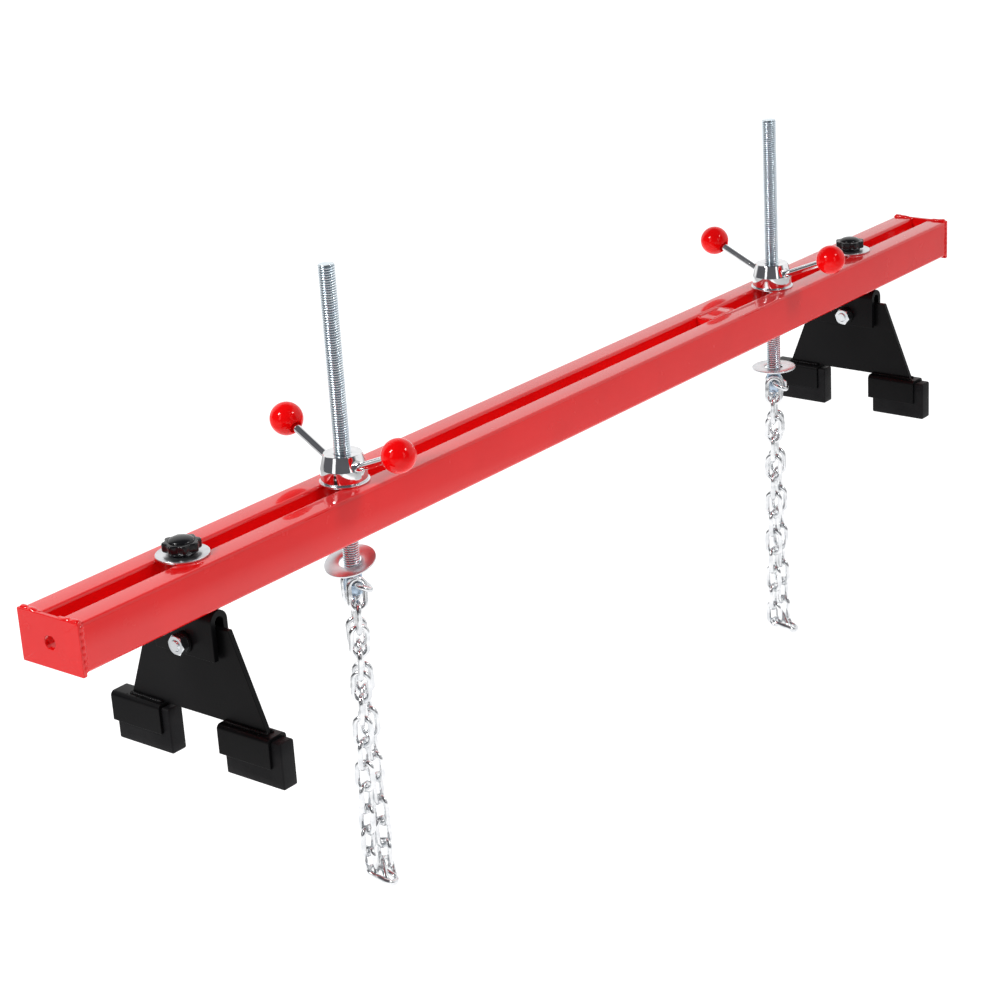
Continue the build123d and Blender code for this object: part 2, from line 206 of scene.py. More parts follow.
MATS = {
    "red_paint": painted(
        "red_paint", (0.81, 0.004, 0.005), (0.89, 0.006, 0.007), (0.22, 0.30),
        coat=0.88, peel=0.00002, coat_rough=0.035, specular=0.10,
    ),
    "black_paint": painted(
        "black_paint", (0.003, 0.003, 0.0035), (0.0055, 0.0055, 0.006), (0.28, 0.40),
        coat=0.0, peel=0.00006, coat_rough=0.2, specular=0.11,
    ),
    "black_rubber": plastic(
        "black_rubber", (0.005, 0.005, 0.006), (0.010, 0.010, 0.011), (0.45, 0.62),
        coat=0.0, depth=0.00009, scale=900.0, specular=0.13,
    ),
    "knob_plastic": plastic(
        "knob_plastic", (0.004, 0.004, 0.005), (0.008, 0.008, 0.009), (0.16, 0.26),
        coat=0.12, depth=0.00002, scale=500.0, specular=0.26,
    ),
    "red_ball_plastic": plastic(
        "red_ball_plastic", (0.97, 0.001, 0.002), (1.0, 0.002, 0.003), (0.07, 0.12),
        coat=0.08, depth=0.000004, scale=200.0, specular=0.2,
    ),
    "brass_insert": metal("brass_insert", (0.55, 0.36, 0.13), (0.68, 0.47, 0.2), (0.25, 0.4), 300.0),
    "polished_steel": metal(
        "polished_steel", (0.78, 0.79, 0.80), (0.88, 0.88, 0.89), (0.03, 0.10), 420.0,
        stretch=(1, 1, 3), depth=0.000014, anisotropic=0.1,
    ),
    "zinc_plate": metal("zinc_plate", (0.66, 0.67, 0.69), (0.80, 0.81, 0.83), (0.24, 0.38), 420.0),
    "bright_zinc": metal("bright_zinc", (0.70, 0.73, 0.76), (0.84, 0.86, 0.88), (0.14, 0.26), 500.0),
    "zinc_thread": metal(
        # painted shade: the thread material darkens its roots, shade painted into the grooves
        "zinc_thread", (0.76, 0.86, 0.94), (0.90, 0.97, 1.0), (0.18, 0.30), 600.0, painted_root_shade=(0.20, 0.25, 0.29),
    ),
    "blue_zinc": metal("blue_zinc", (0.36, 0.47, 0.60), (0.52, 0.63, 0.74), (0.2, 0.36), 350.0),
    "chain_zinc": metal("chain_zinc", (0.66, 0.68, 0.70), (0.86, 0.87, 0.88), (0.13, 0.26), 380.0),
}


# ------------------------------------------------------------------ mesh tools

def finish_piece(name, bm, mat, body, nodes=(), angle=32.0, bevel=0.0, segments=2, place=None, smooth=True):
    if place is not None:
        bm.transform(place)
    bmesh.ops.recalc_face_normals(bm, faces=bm.faces)
    mesh = bpy.data.meshes.new(name)
    bm.to_mesh(mesh)
    bm.free()
    obj = bpy.data.objects.new(name, mesh)
    bpy.context.scene.collection.objects.link(obj)
    mesh.materials.append(MATS[mat])
    for poly in mesh.polygons:
        poly.use_smooth = smooth
    mesh.set_sharp_from_angle(angle=math.radians(angle))
    if bevel:
        modifier = obj.modifiers.new("bevel", "BEVEL")
        modifier.width = bevel
        modifier.segments = segments
        modifier.limit_method = "ANGLE"
        modifier.angle_limit = math.radians(angle)
        modifier.harden_normals = True
    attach(obj, body)
    if nodes:
        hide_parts(*nodes)
    return obj


def frame_at(origin, z_axis, x_hint=None):
    z = Vector(z_axis).normalized()
    x = Vector(x_hint) if x_hint is not None else (UP.cross(z) if abs(z.z) < 0.99 else Vector((1, 0, 0)))
    x = (x - z * x.dot(z)).normalized()
    y = z.cross(x)
    return Matrix.Translation(origin) @ Matrix((x, y, z)).transposed().to_4x4()


def loft(rings, close_ends=True, bm=None):
    """Joins rings of points, all of one length, into a tube."""
    bm = bm or bmesh.new()
    made = [[bm.verts.new(p) for p in ring] for ring in rings]
    count = len(made[0])
    for a, b in zip(made, made[1:]):
        for i in range(count):
            j = (i + 1) % count
            bm.faces.new((a[i], a[j], b[j], b[i]))
    if close_ends:
        bm.faces.new(list(reversed(made[0])))
        bm.faces.new(made[-1])
    return bm


def ring_loft(rings):
    """Joins rings of points into a skin that closes on itself: the last ring meets the first."""
    bm = loft(rings + [rings[0]], close_ends=False)
    bmesh.ops.remove_doubles(bm, verts=bm.verts, dist=1e-7)
    return bm


def drawn_along_y(node, profile):
    """Draws an (x, z) profile, x from the node's middle, through the node's depth in Y."""
    x_mid = mid(node).x
    return loft([[(x_mid + x, y, z) for x, z in profile] for y in (low(node).y, high(node).y)])


def lathe(profile, segments=64, ring=False):
    """Turns (radius, height) points about local Z; ring=True joins the last point to the first."""
    bm = bmesh.new()
    columns = []
    for radius, height in profile:
        if radius < 1e-7:
            columns.append([bm.verts.new((0, 0, height))])
        else:
            columns.append([
                bm.verts.new((radius * math.cos(t), radius * math.sin(t), height))
                for t in (2 * math.pi * i / segments for i in range(segments))
            ])
    pairs = list(zip(columns, columns[1:]))
    if ring:
        pairs.append((columns[-1], columns[0]))
    for a, b in pairs:
        for i in range(segments):
            j = (i + 1) % segments
            if len(a) == 1 and len(b) == 1:
                continue
            if len(a) == 1:
                bm.faces.new((a[0], b[i], b[j]))
            elif len(b) == 1:
                bm.faces.new((a[i], b[0], a[j]))
            else:
                bm.faces.new((a[i], b[i], b[j], a[j]))
    return bm


def arc(cx, cy, radius, start, end, steps):
    return [
        (cx + radius * math.cos(math.radians(start + (end - start) * i / steps)),
         cy + radius * math.sin(math.radians(start + (end - start) * i / steps)))
        for i in range(steps + 1)
    ]


def rounded_outline(half_x, half_y, radius, steps=6):
    points = []
    for cx, cy, start in (
        (half_x - radius, half_y - radius, 0),
        (-half_x + radius, half_y - radius, 90),
        (-half_x + radius, -half_y + radius, 180),
        (half_x - radius, -half_y + radius, 270),
    ):
        points += arc(cx, cy, radius, start, start + 90, steps)
    return points


WASHER_THICK = 2 * MM
WASHER_EDGE = 0.3 * MM


def washer_profile(inner, outer, thick, edge):
    return [
        (inner, edge), (inner + edge * 0.4, edge * 0.35), (inner + edge, 0),
        (outer - edge * 2.2, 0), (outer - edge * 0.8, edge * 0.35), (outer, edge * 1.6),
        (outer, thick - edge), (outer - edge * 0.4, thick - edge * 0.3), (outer - edge, thick),
        (inner + edge, thick), (inner + edge * 0.4, thick - edge * 0.35), (inner, thick - edge),
    ]


def washer(name, node, inner, mat, body, outer=None, segments=96, place=None):
    """A flat washer with softly rolled edges; it lies level on its CAD node unless placed."""
    outer = outer or extent(node).x / 2
    bm = lathe(washer_profile(inner, outer, WASHER_THICK, WASHER_EDGE), segments, ring=True)
    place = place or Matrix.Translation((mid(node).x, mid(node).y, low(node).z))
    return finish_piece(name, bm, mat, body, (node,), angle=40, place=place)


def threaded(name, radius, depth, pitch, bottom, top, mat, body, nodes, place, segments=40, end=1.2 * MM):
    """A rolled right-hand thread: a grid sheared along the helix, cut flat at both ends.

    The mesh's "crest" attribute says how high each point stands, from 0 at the root to 1; the thread material
    paints shade into the roots from it."""
    shape = [0.0, 0.0, 0.30, 0.80, 1.0, 1.0, 0.80, 0.30]
    steps = len(shape)
    bm = bmesh.new()
    turns = int(math.ceil((top - bottom) / pitch)) + 3
    start = bottom - 1.5 * pitch
    rows = []
    for k in range(turns * steps + 1):
        row = []
        for i in range(segments):
            z = start + pitch * (k / steps + i / segments)
            r = radius - depth * (1 - shape[k % steps])
            room = min(top - z, z - bottom)
            if room < end:
                r = min(r, radius - depth * 1.15 + max(room, 0) * depth * 1.2 / end)
            t = 2 * math.pi * i / segments
            row.append(bm.verts.new((r * math.cos(t), r * math.sin(t), z)))
        rows.append(row)
    for k in range(len(rows) - 1):
        for i in range(segments - 1):
            bm.faces.new((rows[k][i], rows[k][i + 1], rows[k + 1][i + 1], rows[k + 1][i]))
        if k + 1 + steps < len(rows):
            bm.faces.new((rows[k][-1], rows[k + steps][0], rows[k + 1 + steps][0], rows[k + 1][-1]))
    for height, outward in ((top, 1), (bottom, -1)):
        bmesh.ops.bisect_plane(
            bm, geom=bm.verts[:] + bm.edges[:] + bm.faces[:], dist=1e-7,
            plane_co=(0, 0, height), plane_no=(0, 0, outward), clear_outer=True,
        )
        rim = [e for e in bm.edges if e.is_boundary and all(abs(v.co.z - height) < 1e-6 for v in e.verts)]
        bmesh.ops.contextual_create(bm, geom=rim)
    bmesh.ops.delete(bm, geom=[v for v in bm.verts if not v.link_faces], context="VERTS")
    bm.verts.index_update()
    rises = []
    for v in bm.verts:
        on_end_face = min(top - v.co.z, v.co.z - bottom) < 0.1 * MM
        rises.append(1.0 if on_end_face else (math.hypot(v.co.x, v.co.y) - radius + depth) / depth)
    obj = finish_piece(name, bm, mat, body, nodes, angle=50, place=place)
    crest = obj.data.attributes.new("crest", "FLOAT", "POINT")
    for item, rise in zip(crest.data, rises):
        item.value = min(max(rise, 0.0), 1.0)
    return obj


def weld_run(name, points, width, rise, mat, body, seed, lumps=2.4 * MM, up=UP, flatten=0.9):
    """A hand-laid bead along points: overlapping lumps, uneven in width and height."""
    points = [Vector(p) for p in points]
    lengths = [(b - a).length for a, b in zip(points, points[1:])]
    total = sum(lengths)
    count = max(int(total / (0.55 * MM)), 6)
    around = 14
    rings = []
    for s in range(count + 1):
        t = s / count
        distance = t * total
        for (a, b), length in zip(zip(points, points[1:]), lengths):
            if distance <= length or b is points[-1]:
                centre = a.lerp(b, min(distance / length, 1.0))
                forward = (b - a).normalized()
                break
            distance -= length
        side = forward.cross(up).normalized()
        wave = abs(math.sin(math.pi * t * total / lumps))
        swell = 0.80 + 0.20 * wave + 0.16 * noise.noise(Vector((t * total * 160, seed * 3.7, 0)))
        taper = min(1.0, math.sqrt(max(min(t, 1 - t) * total / (1.6 * MM), 0.02)))
        side_shift = width * 0.16 * noise.noise(Vector((seed * 1.3, t * total * 120, 4)))
        ring = []
        for i in range(around):
            a = 2 * math.pi * i / around
            w = math.cos(a) * width / 2 * swell * taper
            h = math.sin(a) * (rise if math.sin(a) > 0 else rise * flatten) * swell * taper
            ring.append(centre + side * (w + side_shift) + up * h)
        rings.append(ring)
    return finish_piece(name, loft(rings), mat, body, angle=70)


# ------------------------------------------------------------------ beam

TUBE_CORNER_R = 3.5 * MM
RAIL_STATIONS = 24
rail_start, rail_end = low("rail_front").x, high("rail_front").x
for row in ("front", "back"):
    name = "rail_" + row
    size = extent(name)
    centre = mid(name)
    outline = rounded_outline(size.y / 2, size.z / 2, TUBE_CORNER_R, 8)
    stations = [rail_start + (rail_end - rail_start) * i / RAIL_STATIONS for i in range(RAIL_STATIONS + 1)]
    rings = [[(x, centre.y + a, centre.z + b) for a, b in outline] for x in stations]
    finish_piece("painted_" + name, loft(rings), "red_paint", "beam", (name,), angle=50)

hole_r = 6.5 * MM
plate_corner_r = 1.4 * MM
edge, lip = 0.7 * MM, 0.5 * MM
bead_inset = 0.8 * MM
for side, sign in (("left", -1), ("right", 1)):
    name = "end_plate_" + side
    centre, size = mid(name), extent(name)
    outline = rounded_outline(size.y / 2, size.z / 2, plate_corner_r, 4)
    count = len(outline) * 3
    rim = []
    for i in range(count):
        a, b = outline[i // 3], outline[(i // 3 + 1) % len(outline)]
        f = (i % 3) / 3
        rim.append((a[0] + (b[0] - a[0]) * f, a[1] + (b[1] - a[1]) * f))
    rim_angles = [math.atan2(y, x) for x, y in rim]

    def shrunk(amount, height):
        return [(height, y * (1 - 2 * amount / size.y), z * (1 - 2 * amount / size.z)) for y, z in rim]

    def hole(radius, height):
        return [(height, radius * math.cos(t), radius * math.sin(t)) for t in rim_angles]

    half = size.x / 2
    rings = [
        hole(hole_r, -half + lip), hole(hole_r + lip * 0.3, -half + lip * 0.3), hole(hole_r + lip, -half),
        shrunk(edge, -half), shrunk(edge * 0.3, -half + edge * 0.3), shrunk(0, -half + edge),
        shrunk(0, half - edge), shrunk(edge * 0.3, half - edge * 0.3), shrunk(edge, half),
        hole(hole_r + lip, half), hole(hole_r + lip * 0.3, half - lip * 0.3), hole(hole_r, half - lip),
    ]
    finish_piece(
        "painted_" + name, ring_loft(rings), "red_paint", "beam", (name,), angle=20,
        place=Matrix.Translation(centre),
    )

    # weld beads: over the top of each rail, down the outer faces and in short runs below
    joint_x = high(name).x if side == "left" else low(name).x
    bead_x = joint_x + sign * 0.5 * MM
    top = rail_top + 0.1 * MM
    outer = size.y / 2
    for y_sign, row in ((-1, "front"), (1, "back")):
        seed = y_sign + 5 * sign
        weld_run(
            f"weld_top_{row}_{side}",
            [
                (bead_x, y_sign * (outer - bead_inset), top - 1.2 * MM),
                (bead_x, y_sign * (outer - 3.5 * MM), top + 0.7 * MM),
                (bead_x, y_sign * 22 * MM, top + 0.3 * MM),
                (bead_x, y_sign * 9.5 * MM, top - 0.8 * MM),
            ],
            6.4 * MM, 2.3 * MM, "red_paint", "beam", 3 + seed, lumps=11.0 * MM,
        )
        weld_run(
            f"weld_side_{row}_{side}",
            [
                (bead_x, y_sign * (outer - bead_inset), rail_top - 0.8 * MM),
                (bead_x, y_sign * (outer - 0.5 * MM), mid(name).z),
                (bead_x, y_sign * (outer - bead_inset), rail_under + 0.5 * MM),
            ],
            5.6 * MM, 1.5 * MM, "red_paint", "beam", 12 + seed, lumps=6.0 * MM, up=Vector((0, y_sign, 0)),
        )
        weld_run(
            f"weld_under_{row}_{side}",
            [
                (bead_x, y_sign * (outer - 3 * MM), rail_under + 0.4 * MM),
                (bead_x, y_sign * 24 * MM, rail_under + 0.1 * MM),
                (bead_x, y_sign * 15 * MM, rail_under + 0.2 * MM),
            ],
            4.4 * MM, 0.9 * MM, "red_paint", "beam", 22 + seed, lumps=3.0 * MM, up=-UP,
        )

name = "slot_spacer"
centre, size = mid(name), extent(name)
outline = rounded_outline(size.x / 2, size.z / 2, 1.0 * MM, 4)
depths = (low(name).y, centre.y, high(name).y)
rings = [[(centre.x + a, y, centre.z + b) for a, b in outline] for y in depths]
finish_piece("painted_slot_spacer", loft(rings), "red_paint", "beam", (name,), angle=40)
for index, (x, start, end) in enumerate((
    (low(name).x + 0.5 * MM, -7, 9.5), (high(name).x - 0.5 * MM, -9.5, 7),
)):
    weld_z = high(name).z - 0.8 * MM
    weld_run(
        f"weld_spacer_end_{index}", [(x, start * MM, weld_z), (x, end * MM, weld_z)],
        4.0 * MM, 1.3 * MM, "red_paint", "beam", 41 + index,
    )
for index, y_sign in enumerate((-1, 1)):
    weld_y, weld_z = y_sign * 9.9 * MM, high(name).z - 0.2 * MM
    weld_run(
        f"weld_spacer_side_{index}",
        [(low(name).x + 3 * MM, weld_y, weld_z), (high(name).x - 4 * MM, weld_y, weld_z)],
        4.4 * MM, 1.5 * MM, "red_paint", "beam", 51 + index,
    )


# ------------------------------------------------------------------ legs

HEX_ACROSS = 17 * MM
BOLT_R = 5 * MM
BOLT_HEAD = 6.4 * MM
BOLT_PITCH = 1.5 * MM
STRIP = 5.5 * MM
SHOE_WALL = 3.0 * MM
SHOE_BEND = 4.5 * MM
SHEET_EDGE = 0.45 * MM


def hex_outline(across, steps, spin):
    """A hexagon with points along its sides, so that its chamfer can follow a cone."""
    points = []
    corner = across / math.sqrt(3)
    for k in range(6):
        a = math.radians(60 * k + spin)
        b = math.radians(60 * (k + 1) + spin)
        for i in range(steps):
            f = i / steps
            points.append((
                corner * (math.cos(a) * (1 - f) + math.cos(b) * f),
                corner * (math.sin(a) * (1 - f) + math.sin(b) * f),
            ))
    return points


def hex_solid(thick, spin, hole=0.0, chamfer_both=True):
    """Hexagon with cone-cut corners, along local +Z from 0 to thick."""
    across = HEX_ACROSS
    outline = hex_outline(across, 6, spin)
    cone_r = across / 2 * 0.985

    def ring(z, limit):
        out = []
        for x, y in outline:
            r = math.hypot(x, y)
            k = min(1.0, limit / r)
            out.append((x * k, y * k, z))
        return out

    def skin(z_face, z_dir):
        rings = []
        for r in (cone_r, cone_r * 1.05, cone_r * 1.10, across):
            rise = max(0.0, min(r, across * 0.5774) - cone_r)
            rings.append(ring(z_face + z_dir * rise * 0.55, r))
        return rings

    rings = skin(0, 1) if chamfer_both else [ring(0, across)]
    rings += list(reversed(skin(thick, -1)))
    if hole:
        def bore_ring(flare, z):
            turns = [math.atan2(y, x) for x, y in outline]
            return [(hole * math.cos(t) * flare, hole * math.sin(t) * flare, z) for t in turns]

        rings = [bore_ring(1.0, 0.4 * MM), bore_ring(1.09, 0)] + rings
        rings += [bore_ring(1.09, thick), bore_ring(1.0, thick - 0.4 * MM)]
        return ring_loft(rings)
    bm = loft(rings)
    bmesh.ops.remove_doubles(bm, verts=bm.verts, dist=1e-7)
    return bm


KNOB_LOBES = 8
KNOB_POINTS = 192
KNOB_SPIN = math.radians(8)


def knob_ring(valley, lobe, height):
    """One level of the star: eight blunt lobes with wide hollow scallops between them."""
    ring = []
    for i in range(KNOB_POINTS):
        t = 2 * math.pi * i / KNOB_POINTS
        wave = 0.5 + 0.5 * math.cos(KNOB_LOBES * (t - KNOB_SPIN))
        radius = valley + lobe * wave ** 1.15
        ring.append((radius * math.cos(t), radius * math.sin(t), height))
    return ring


for side in ("left", "right"):
    slider = "leg_slider_" + side
    head = "leg_head_" + side
    foot = "foot_frame_" + side
    turner = "knob_turner_" + side

    node = "knob_" + side
    centre, base = mid(node), low(node).z
    tall = high(node).z - base
    valley, lobe = 14.7 * MM, 2.5 * MM
    rim = tall - 3.9 * MM
    levels = (
        (11.4, 0.0, 0.0), (12.0, 0.2, 0.15), (12.2, 0.4, 0.9), (12.4, 0.6, 2.2),
        (13.6, 1.9, 2.9), (14.3, 2.3, 3.1), (14.6, 2.45, 3.6), (14.7, 2.5, 4.6),
    )
    rings = [knob_ring(v * MM, w * MM, z * MM) for v, w, z in levels]
    for inset, shrink, drop in ((0, 0, 1.3), (0.1, 0.03, 0.7), (0.35, 0.1, 0.25), (0.8, 0.3, 0.02)):
        rings.append(knob_ring(valley - inset * MM, lobe - shrink * MM, rim - drop * MM))
    rings += [
        knob_ring(12.6 * MM, 0.5 * MM, rim), knob_ring(12.0 * MM, 0, rim - 0.05 * MM),
        knob_ring(11.75 * MM, 0, rim - 0.35 * MM), knob_ring(11.5 * MM, 0, rim - 0.3 * MM),
    ]
    for k in range(1, 13):
        a = math.radians(90 * k / 12)
        rings.append(knob_ring(11.4 * MM * math.cos(a) + 1e-5, 0, rim + (tall - rim) * math.sin(a)))
    finish_piece(
        "star_knob_" + side, loft(rings), "knob_plastic", turner, (node,), angle=38,
        place=Matrix.Translation((centre.x, centre.y, base)),
    )

    washer("plain_knob_washer_" + side, "knob_washer_" + side, 5.4 * MM, "zinc_plate", slider)

    node = "leg_stud_" + side
    threaded(
        "cut_leg_stud_" + side, BOLT_R - 0.01 * MM, 0.55 * MM, BOLT_PITCH, low(node).z, high(node).z,
        "bright_zinc", head, (node,), Matrix.Translation((mid(node).x, mid(node).y, 0)), 28, 0.8 * MM,
    )

    # saddle: one strip bent over into a narrow arch
    node = "saddle_" + side
    outer = extent(node).x / 2
    inner = outer - STRIP
    crown = high(node).z - outer
    profile = [(outer, low(node).z)] + arc(0, crown, outer, 0, 180, 20) + [(-outer, low(node).z)]
    profile += [(-inner, low(node).z)] + arc(0, crown, inner, 180, 0, 20) + [(inner, low(node).z)]
    finish_piece(
        "painted_saddle_" + side, drawn_along_y(node, profile), "black_paint", head, (node,),
        angle=40, bevel=0.5 * MM, segments=3,
    )

    # pivot: bolt along X, washer and nut on the outer left face
    node = "pivot_washer_" + side
    place = frame_at((high(node).x, 0, mid(node).z), (-1, 0, 0), UP)
    washer(
        "painted_pivot_washer_" + side, node, 5.3 * MM, "black_paint", head,
        outer=10.0 * MM, segments=64, place=place,
    )

    node = "pivot_nut_" + side
    thick = high(node).x - low(node).x
    place = frame_at((high(node).x, 0, mid(node).z), (-1, 0, 0), UP)
    nut = hex_solid(thick, 22, hole=BOLT_R + 0.05 * MM)
    finish_piece("hex_pivot_nut_" + side, nut, "bright_zinc", head, (node,), angle=28, place=place)
    node = "pivot_bolt_" + side
    end = low(node).x
    shank_length = high(node).x - end - BOLT_HEAD
    threaded(
        "pivot_bolt_shank_" + side, BOLT_R - 0.02 * MM, 0.5 * MM, BOLT_PITCH, 0.0, shank_length,
        "bright_zinc", head, (node,), frame_at((end, 0, mid(node).z), (1, 0, 0), UP), 28, 1.5 * MM,
    )
    place = frame_at((high(node).x - BOLT_HEAD, 0, mid(node).z), (1, 0, 0), UP)
    bolt_head = hex_solid(BOLT_HEAD, 12, chamfer_both=False)
    finish_piece("pivot_bolt_head_" + side, bolt_head, "bright_zinc", head, (node,), angle=28, place=place)

    # leg plate with a slight bevel all round
    node = "leg_plate_" + side
    z0, z1, half_low = low(node).z, high(node).z, high(node).y
    half_top = 47.6 * MM
    outline = [(-half_low, z0), (half_low, z0), (half_top, z1), (-half_top, z1)]
    rings = [[(x, y, z) for y, z in outline] for x in (low(node).x, high(node).x)]
    finish_piece(
        "painted_leg_plate_" + side, loft(rings), "black_paint", foot, (node,),
        angle=30, bevel=SHEET_EDGE, segments=3,
    )

    for row in ("front", "back"):
        node = f"shoe_{row}_{side}"
        centre = mid(node)
        half = (high(node).x - low(node).x) / 2
        top, bottom = high(node).z, low(node).z
        bend_x, bend_z = half - SHOE_BEND, top - SHOE_BEND
        profile = [(half, bottom)] + arc(bend_x, bend_z, SHOE_BEND, 0, 90, 8)
        profile += arc(-bend_x, bend_z, SHOE_BEND, 90, 180, 8)
        profile += [(-half, bottom), (-half + SHOE_WALL, bottom)]
        profile += arc(-bend_x, bend_z, SHOE_BEND - SHOE_WALL, 180, 90, 5)
        profile += arc(bend_x, bend_z, SHOE_BEND - SHOE_WALL, 90, 0, 5)
        profile += [(half - SHOE_WALL, bottom)]
        finish_piece(
            "painted_" + node, drawn_along_y(node, profile), "black_paint", foot, (node,),
            angle=40, bevel=SHEET_EDGE, segments=3,
        )

        # fillet welds either side of the plate, with spatter
        sign = -1 if row == "front" else 1
        plate_x = high("leg_plate_" + side).x - mid("leg_plate_" + side).x
        inner_y = min(abs(low(node).y), abs(high(node).y))
        for index, x_sign in enumerate((-1, 1)):
            x = centre.x + x_sign * (plate_x + 0.9 * MM)
            seed = 60 + index + (5 if sign > 0 else 0) + (11 if side == "right" else 0)
            weld_run(
                f"weld_{node}_{index}",
                [(x, sign * (inner_y + 2 * MM), top + 0.3 * MM), (x, sign * 84 * MM, top + 0.3 * MM)],
                4.8 * MM, 2.0 * MM, "black_paint", foot, seed, 3.1 * MM,
            )
            rng = random.Random(seed)
            for s in range(9):
                r = rng.uniform(0.35, 0.95) * MM
                y = sign * rng.uniform(inner_y + 4 * MM, 88 * MM)
                at = Vector((centre.x + x_sign * rng.uniform(4.6, 8.2) * MM, y, top + r * 0.25))
                bm = bmesh.new()
                bmesh.ops.create_icosphere(bm, subdivisions=2, radius=r)
                finish_piece(
                    f"spatter_{node}_{index}_{s}", bm, "black_paint", foot, angle=180,
                    place=Matrix.Translation(at) @ Matrix.Diagonal((1.2, 0.9, 0.7, 1)),
                )

        node = f"pad_{row}_{side}"
        centre, size = mid(node), extent(node)
        rings = []
        for z, grow in (
            (0, -1.6), (0.25, -0.9), (0.8, -0.3), (1.6, 0), (8, 0), (16, 0), (30, 0),
            (size.z / MM - 1.6, 0), (size.z / MM - 0.6, -0.5), (size.z / MM, -1.4),
        ):
            corner = max(1.6 + grow * 0.5, 0.5) * MM
            outline = rounded_outline(size.x / 2 + grow * MM, size.y / 2 + grow * MM, corner, 5)
            rings.append([(centre.x + a, centre.y + b, low(node).z + z * MM) for a, b in outline])
        finish_piece("moulded_" + node, loft(rings), "black_rubber", foot, (node,), angle=50)


# ------------------------------------------------------------------ screws

THREAD_PITCH = 25.4 / 11 * MM
HUB_R = 22.0 * MM
HUB_SHOULDER_Z = 12.3 * MM
HUB_BORE_R = 8.02 * MM
LEVER_FOOT_R = 21.2 * MM
LEVER_FOOT_Z = 17.4 * MM
SPOT_FACE_R = 6.5 * MM
BAR_R = 3.98 * MM
BAR_END = 0.6 * MM
BALL_R = 16.0 * MM
BALL_BORE_R = 4.02 * MM
BALL_BORE_TOP = 7.4 * MM
MOUTH_R = 6.0 * MM
MOUTH_DEPTH = 4.2 * MM
EYE_R = 5.2 * MM
EYE_SOFT = 1.1 * MM

